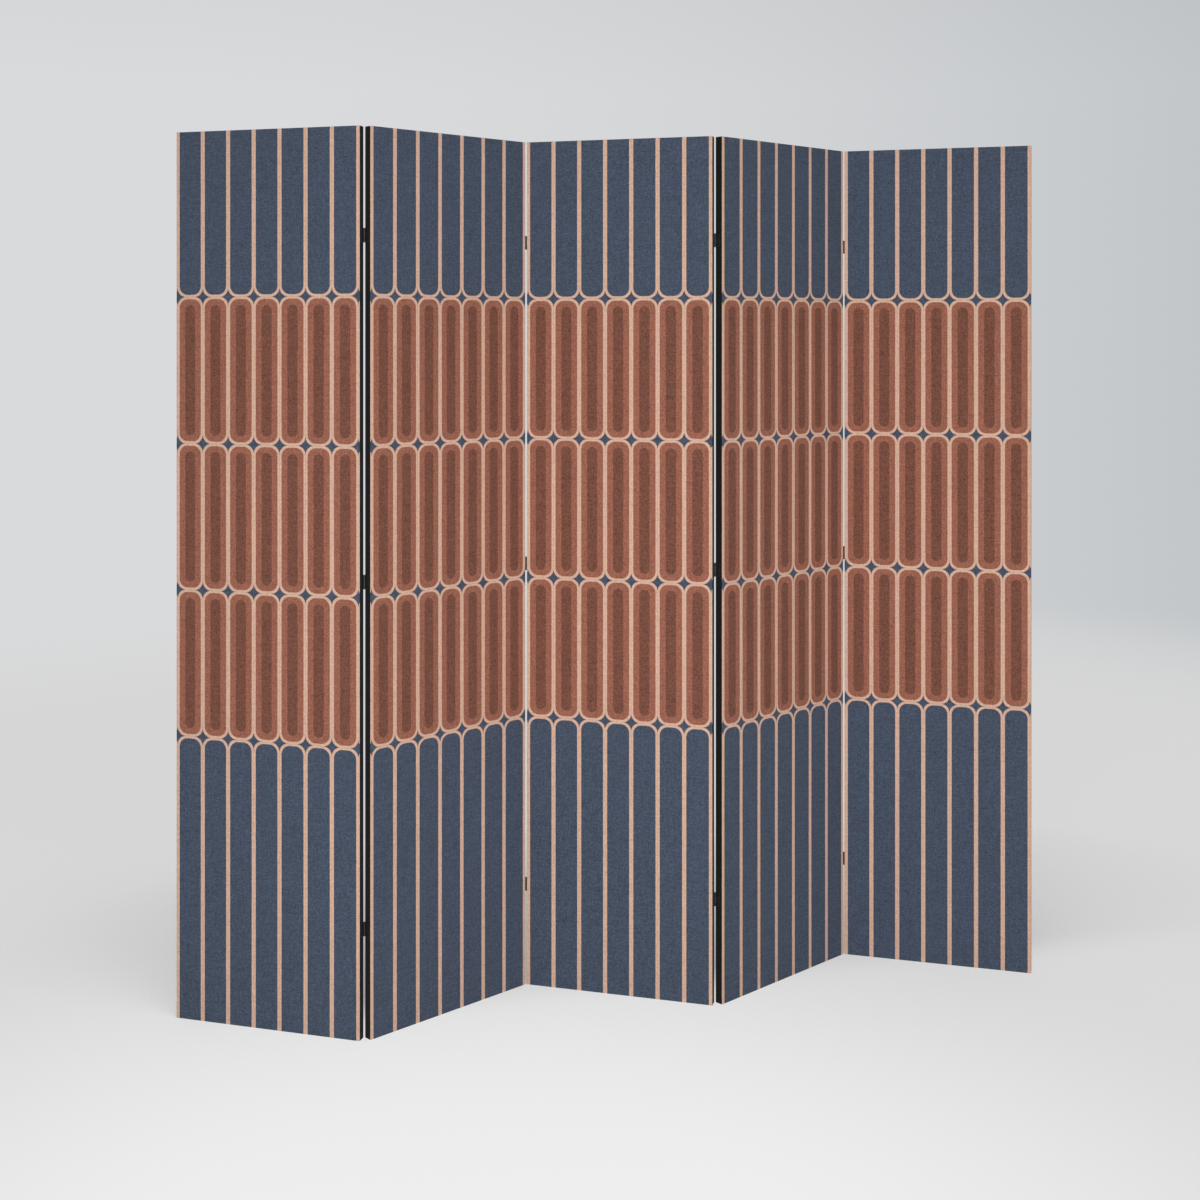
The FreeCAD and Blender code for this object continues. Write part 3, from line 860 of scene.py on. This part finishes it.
def lining_finish():
    """Black lining: a finer, flatter weave than canvas, with a soft sheen and a few pale fibres."""
    finish, tree, shader = new_finish("black_lining")
    across, up, places = cloth_places(tree, LINING_SEED)
    threads, streaks = weave(tree, across, up, places, LINING_PITCH)
    pulled = stretched(tree, places, LINT_ACROSS, LINT_ALONG, 1, turn=LINT_SLANT)
    fibres = mottle(tree, pulled, scale=1.0, detail=4.0, rough=0.8)
    lint = (fibres - LINT_FROM).higher(0) * LINT_BRIGHT
    # threads * LINING_SHADE: the weave's height lightens its tops and darkens its hollows, a painted shade.
    fine = streaks * LINING_STREAKS + threads * LINING_SHADE + lint
    light = fine + swing(tree, places, LINING_DRIFT_SCALE, LINING_DRIFT) + 1
    plug(tree, shaded(tree, LINING_BLACK, light), shader.inputs["Base Color"])
    plug(tree, threads * THREAD_SHADE + LINING_DULLNESS, shader.inputs["Roughness"])
    shader.inputs["Specular IOR Level"].default_value = 0.3
    shader.inputs["Sheen Weight"].default_value = 0.10
    shader.inputs["Sheen Roughness"].default_value = 0.5
    raised(tree, shader, threads, LINING_THREAD_HEIGHT, THREAD_BUMP)
    return finish


lining_material = lining_finish()
print("lining finish:", len(lining_material.node_tree.nodes), "nodes")


# %% Hang the linings

for panel in PANELS:
    mesh = lining_mesh(f"panel_{panel}_lining_cloth")
    mesh.transform(panel_place(panel))
    mesh.materials.append(lining_material)
    cloth = bpy.data.objects.new(f"panel_{panel}_lining_cloth", mesh)
    cloth.pass_index = panel
    bpy.context.scene.collection.objects.link(cloth)
    thicken(cloth, CLOTH)
    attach(cloth, f"panel_{panel}")
    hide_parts(f"panel_{panel}_back_lining")
print("linings on", len(PANELS), "panels, each on", len(frame_bars(1)), "bars and the hem")


# %% [markdown]
# ## The wooden frame
#
# Inside are pine bars: two uprights, two rails with tenons, and two thinner cross bars. Nobody
# sees them on the finished screen, but the model can be opened, so they get real wood. Pine shows
# long, slightly wavy lines where the saw cut through its yearly rings. Noise pulled very long in the
# direction of the bar and put through a sine wave gives such lines. The bars that lie flat need the
# lines along the panel, so the finish is made three times: upright, and level for each way that a
# panel is turned.

# %% Pine

RING_WIDTH = 0.006
CLOUD_WIDTH = 4 * RING_WIDTH
RINGS_PER_SWING = 9
LATE_WOOD = 0.75
ALONG_GRAIN = 0.04
RING_EDGE = 1.6
FIBRE_SCALE, FIBRE_ROUGH = 900.0, 0.65
FIBRE_SHADE = 0.35
PINE_DULLNESS, RING_GLOSS = 0.62, 0.12
RING_HEIGHT = 0.4
PINE_PALE, PINE_DARK = ink(226, 190, 142), ink(190, 138, 88)


def pine_finish(name, lengths, turn):
    """Planed pine whose grain runs along X or Z of a frame turned about the upright axis."""
    finish, tree, shader = new_finish(name)
    place = Wire(tree, node(tree, "TexCoord").outputs["Object"])
    grain_places = stretched(tree, place, *lengths, turn)
    rings = mottle(tree, grain_places, 1 / CLOUD_WIDTH)
    lines = ((rings * (2 * math.pi * RINGS_PER_SWING)).wave() * 0.5 + 0.5).reckon("POWER", RING_EDGE)
    fibres = mottle(tree, grain_places, FIBRE_SCALE, detail=3.0, rough=FIBRE_ROUGH)
    colour = mixed(tree, lines * LATE_WOOD, PINE_PALE, PINE_DARK)
    light = (fibres - CLOUD_MIDDLE) * FIBRE_SHADE + 1
    plug(tree, shaded(tree, colour, light), shader.inputs["Base Color"])
    plug(tree, PINE_DULLNESS - lines * RING_GLOSS, shader.inputs["Roughness"])
    raised(tree, shader, fibres + lines * RING_HEIGHT, depth=0.0001, strength=0.5)
    return finish


upright_pine = pine_finish("upright_pine", (1, 1, ALONG_GRAIN), turn=0.0)
level_pine = {side: pine_finish(f"level_pine_{name}", (ALONG_GRAIN, 1, 1), -side * HALF_FOLD)
              for side, name in ((-1, "odd"), (1, "even"))}
print("pine has rings about", RING_WIDTH * 1000, "mm wide")


# %% Put the wood finishes on


def coat(node_name, finish):
    """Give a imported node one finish."""
    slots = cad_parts[node_name].data.materials
    slots.clear()
    slots.append(finish)


for panel in PANELS:
    level = level_pine[-1 if panel % 2 else 1]
    for bar in ("left_stile", "right_stile"):
        coat(f"panel_{panel}_{bar}", upright_pine)
    for bar in ("top_rail", "bottom_rail", "cross_rails"):
        coat(f"panel_{panel}_{bar}", level)
print("wood on", 5 * len(PANELS), "nodes")


# %% [markdown]
# ## The metal
#
# The hinges are small stamped leaves in black lacquer, held by blackened screws, and turn on blackened
# pins. The staples are zinc-plated wire. Metal this small is mostly read by its gloss, so each finish has
# one colour, set on the shader itself, and its life comes from the roughness and from fine bumps:
# orange peel in the lacquer, draw marks in the wire, dull patches where it is handled.

# %% Metal finishes

PATCH_SCALE, PATCH_ROUGH = 160.0, 0.6
PATCH_SPREAD, PATCH_LOWER = 1.6, 0.3
METAL_BUMP = 0.7


def metal_finish(name, colour, metallic, smooth, dull, peel_size, peel_depth, lengths=(1, 1, 1)):
    """A metal part's finish whose gloss varies from smooth to dull, with small bumps of a size and depth."""
    finish, tree, shader = new_finish(name)
    place = stretched(tree, Wire(tree, node(tree, "TexCoord").outputs["Object"]), *lengths)
    patches = mottle(tree, place, PATCH_SCALE, detail=4.0, rough=PATCH_ROUGH)
    peel = mottle(tree, place, 1 / peel_size)
    shader.inputs["Base Color"].default_value = colour
    shader.inputs["Metallic"].default_value = metallic
    range_of_gloss = dull - smooth
    gloss = patches * range_of_gloss * PATCH_SPREAD + (smooth - PATCH_LOWER * range_of_gloss)
    plug(tree, gloss, shader.inputs["Roughness"])
    raised(tree, shader, peel + patches, peel_depth, METAL_BUMP)
    return finish


hinge_lacquer = metal_finish("hinge_lacquer", ink(27, 27, 28), metallic=0.0, smooth=0.38, dull=0.62,
                             peel_size=0.0006, peel_depth=0.00005)
pin_steel = metal_finish("blackened_pin", ink(48, 47, 46), metallic=1.0, smooth=0.25, dull=0.55,
                         peel_size=0.0005, peel_depth=0.00003, lengths=(1, 1, 0.1))
screw_steel = metal_finish("blackened_screw", ink(46, 46, 48), metallic=1.0, smooth=0.30, dull=0.60,
                           peel_size=0.0005, peel_depth=0.00003)
staple_zinc = metal_finish("zinc_wire", ink(196, 198, 196), metallic=1.0, smooth=0.22, dull=0.50,
                           peel_size=0.0004, peel_depth=0.00002)

for panel in PANELS:
    coat(f"panel_{panel}_staples", staple_zinc)
    coat(f"panel_{panel}_hinge_screws", screw_steel)
for left in list(PANELS)[:-1]:
    for side in ("left", "right"):
        coat(f"hinge_{left}_{left + 1}_{side}_leaves", hinge_lacquer)
    coat(f"hinge_{left}_{left + 1}_pins", pin_steel)
print("metal on", 2 * len(PANELS) + 3 * (len(PANELS) - 1), "nodes")


# %% [markdown]
# ## Floor and backdrop
#
# The picture is taken in a studio with a seamless pale backdrop: there is no line between floor and
# wall, only a slow change of grey. A curved wall could be built, but it would stand in the way when the
# screen is looked at from behind. So the floor is one large sheet that runs to the horizon, and
# some way out from the screen it passes into the same pale grey that the world shows. Near the screen
# it is partly a lit floor, which carries the shadows of the panels, and partly painted paler, with
# the palest pool where the light of a studio falls, in front. A painted floor has no shadow of its own.
# An ambient occlusion node measures how much of the lamps' side each place can see, and the paint is
# darkened by that behind the screen. Only what the camera sees directly, or in a gloss, is painted this
# way. The light on the screen isn't changed.

# %% The backdrop's grey

GREY_LEFT = ink(217, 218, 220)
GREY_RIGHT = ink(192, 196, 199)
TURN_FROM, TURN_TO = -0.25, 0.37
DIM_FROM, DIM_SLOPE, DIM_MOST = 0.145, 0.8, 0.06
ACROSS = Vector((math.cos(math.radians(CAMERA_TURN)), -math.sin(math.radians(CAMERA_TURN)), 0))


def backdrop_grey(tree, direction):
    """The backdrop's colour in a direction of the room, with painted light and shade: paler on the left,
    darker high up.
    """
    along = node(tree, "VectorMath", {"operation": "DOT_PRODUCT"}, Vector=direction)
    along.inputs[1].default_value = ACROSS
    # Painted light and shade: the grey is paler towards the lamps on the left and darker to the right.
    share = Wire(tree, along.outputs["Value"]).between(TURN_FROM, TURN_TO)
    height = Wire(tree, node(tree, "SeparateXYZ", None, Vector=direction).outputs["Z"])
    # Painted shade: a trifle darker high up.
    dim = ((height - DIM_FROM) * DIM_SLOPE).higher(0).lower(DIM_MOST)
    return shaded(tree, mixed(tree, share * share, GREY_LEFT, GREY_RIGHT), 1 - dim)


def seen_directly(tree):
    """1 for what the camera sees, also in a gloss or through something clear, and 0 for light."""
    path = node(tree, "LightPath")
    seen = [Wire(tree, path.outputs[f"Is {ray} Ray"]) for ray in ("Camera", "Glossy", "Transmission")]
    return seen[0].higher(seen[1]).higher(seen[2])


SKY_LIGHT = 0.55
world = bpy.data.worlds.new("studio")
world.use_nodes = True
bpy.context.scene.world = world
tree = world.node_tree
light = next(n for n in tree.nodes if n.type == "BACKGROUND")
sky_place = Wire(tree, node(tree, "TexCoord").outputs["Generated"])
shown = backdrop_grey(tree, sky_place)
up = Wire(tree, node(tree, "SeparateXYZ", None, Vector=sky_place).outputs["Z"]).higher(0)
overhead = shaded(tree, (1, 1, 1), up * SKY_LIGHT)
plug(tree, mixed(tree, seen_directly(tree), overhead, shown), light.inputs["Color"])
print("straight up the room is", SKY_LIGHT, "bright")


# %% Distances and shade on the floor

TOWARDS_LIGHT = Vector((-0.30, -0.90, 0.30)).normalized()
SHADE_REACH = 1.0
SHADE_SAMPLES = 3
SHADE = 0.85
BEHIND_FROM, BEHIND_TO = -0.05, 0.10


def ramp(wire, low, high):
    """A wire that climbs softly from 0 to 1 between two values of another."""
    share = wire.between(low, high)
    return share * share * (3 - share * 2)


def distance_from(tree, place, point):
    """How far a place is from a fixed point, as a wire in metres."""
    away = node(tree, "VectorMath", {"operation": "DISTANCE"}, Vector=place)
    away.inputs[1].default_value = point
    return Wire(tree, away.outputs["Value"])


def shade_behind(tree, depth):
    """1 in the open, and less on the floor behind the screen, from where the screen hides the lamps."""
    x, y, z = TOWARDS_LIGHT
    towards = node(tree, "CombineXYZ", None, X=x, Y=y, Z=z)
    sight = node(tree, "AmbientOcclusion", {"samples": SHADE_SAMPLES}, Distance=SHADE_REACH,
                 Normal=Wire(tree, towards.outputs["Vector"]))
    hidden = (1 - Wire(tree, sight.outputs["AO"])) * ramp(depth, BEHIND_FROM, BEHIND_TO)
    return 1 - hidden * SHADE


print("the paint is shaded by what stands within", SHADE_REACH, "m")


# %% The floor's finish

FLOOR_WHITE = ink(244, 244, 244)
FLOOR_FAR = ink(232, 232, 232)
FLOOR_POOL = ink(255, 255, 255)
POOL_MIDDLE = (-0.4, -0.8, 0.0)
POOL_FULL, POOL_END = 0.35, 1.45
FADE_FROM, FADE_TO = 2.6, 5.2
GREY_MIDDLE = (-0.77, -3.0, 1.2)
PAINTED = 0.7
LAMPS_END, LAMPS_FROM = -2.8, -1.8


def floor_finish():
    """A matt floor that is partly painted, and passes into the backdrop's grey far out."""
    finish = bpy.data.materials.new("studio_floor")
    finish.use_nodes = True
    tree = finish.node_tree
    tree.nodes.clear()
    place = Wire(tree, node(tree, "TexCoord").outputs["Object"])
    fade = ramp(distance_from(tree, place, (0, 0, 0)), FADE_FROM, FADE_TO)
    pool = 1 - ramp(distance_from(tree, place, POOL_MIDDLE), POOL_FULL, POOL_END)
    outward = node(tree, "VectorMath", {"operation": "SUBTRACT"}, Vector=place)
    outward.inputs[1].default_value = GREY_MIDDLE
    outward = Wire(tree, outward.outputs["Vector"])
    unit = node(tree, "VectorMath", {"operation": "NORMALIZE"}, Vector=outward)
    grey = backdrop_grey(tree, Wire(tree, unit.outputs["Vector"]))
    paint = mixed(tree, fade, mixed(tree, pool, FLOOR_FAR, FLOOR_POOL), grey)
    depth = Wire(tree, node(tree, "SeparateXYZ", None, Vector=place).outputs["Y"])
    paint = shaded(tree, paint, shade_behind(tree, depth))
    matt = node(tree, "BsdfDiffuse", None, Color=FLOOR_WHITE)
    glow = node(tree, "Emission", None, Color=paint)
    lit = (1 - fade) * (1 - PAINTED) * ramp(depth, LAMPS_END, LAMPS_FROM)
    painted = (1 - lit) * seen_directly(tree)
    blend = node(tree, "MixShader", None, Fac=painted)
    tree.links.new(matt.outputs[0], blend.inputs[1])
    tree.links.new(glow.outputs[0], blend.inputs[2])
    out = node(tree, "OutputMaterial")
    tree.links.new(blend.outputs[0], out.inputs["Surface"])
    return finish


floor_material = floor_finish()
print("floor finish:", len(floor_material.node_tree.nodes), "nodes")


# %% The floor

FLOOR_REACH = 60.0

floor_mesh = bpy.data.meshes.new("studio_floor")
signs = ((-1, -1), (1, -1), (1, 1), (-1, 1))
floor_mesh.from_pydata([(x * FLOOR_REACH, y * FLOOR_REACH, 0) for x, y in signs], [], [(0, 1, 2, 3)])
floor_mesh.materials.append(floor_material)
floor = bpy.data.objects.new("studio_floor", floor_mesh)
bpy.context.scene.collection.objects.link(floor)
print("floor fades into the backdrop between", FADE_FROM, "and", FADE_TO, "m from the middle")


# %% [markdown]
# ## Light
#
# A studio lights a flat piece of furniture softly and almost evenly, so that the print reads the same
# on every panel. Most of the light here is the room's own. It comes from above, so the print is a
# little paler near the top than at the foot. One large soft lamp in front and to the left makes the
# panels that face left a shade brighter, and a weaker one to the right keeps the others from going
# dull. Their light is kept within a cone, so that it falls on the screen rather than on the floor
# beside the lamps. The powers were set so that a colour on the middle panel renders about as it is
# written.

# %% Lamps

LAMP_SPREAD = math.radians(120)
SCREEN_MIDDLE = (0, 0, HEIGHT / 2)


def soft_lamp(name, place, width, height, power):
    """A large flat lamp at a place, turned to look at the middle of the screen."""
    data = bpy.data.lights.new(name, "AREA")
    data.shape = "RECTANGLE"
    data.size, data.size_y = width, height
    data.energy = power
    data.spread = LAMP_SPREAD
    lamp = bpy.data.objects.new(name, data)
    lamp.location = place
    lamp.rotation_euler = (Vector(SCREEN_MIDDLE) - Vector(place)).to_track_quat("-Z", "Y").to_euler()
    lamp.visible_camera = False
    bpy.context.scene.collection.objects.link(lamp)
    return lamp


key = soft_lamp("front_left_lamp", place=(-1.25, -3.8, 0.9), width=1.6, height=1.8, power=45)
fill = soft_lamp("front_right_lamp", place=(0.8, -3.6, 0.9), width=1.2, height=1.6, power=14)
for lamp in (key, fill):
    print("lamp", lamp.name, lamp.data.energy, "W")


# %% [markdown]
# ## Finish
#
# The colours are shown as they are mixed, with no film look.

# %% Finish

bpy.context.scene.view_settings.view_transform = "Standard"
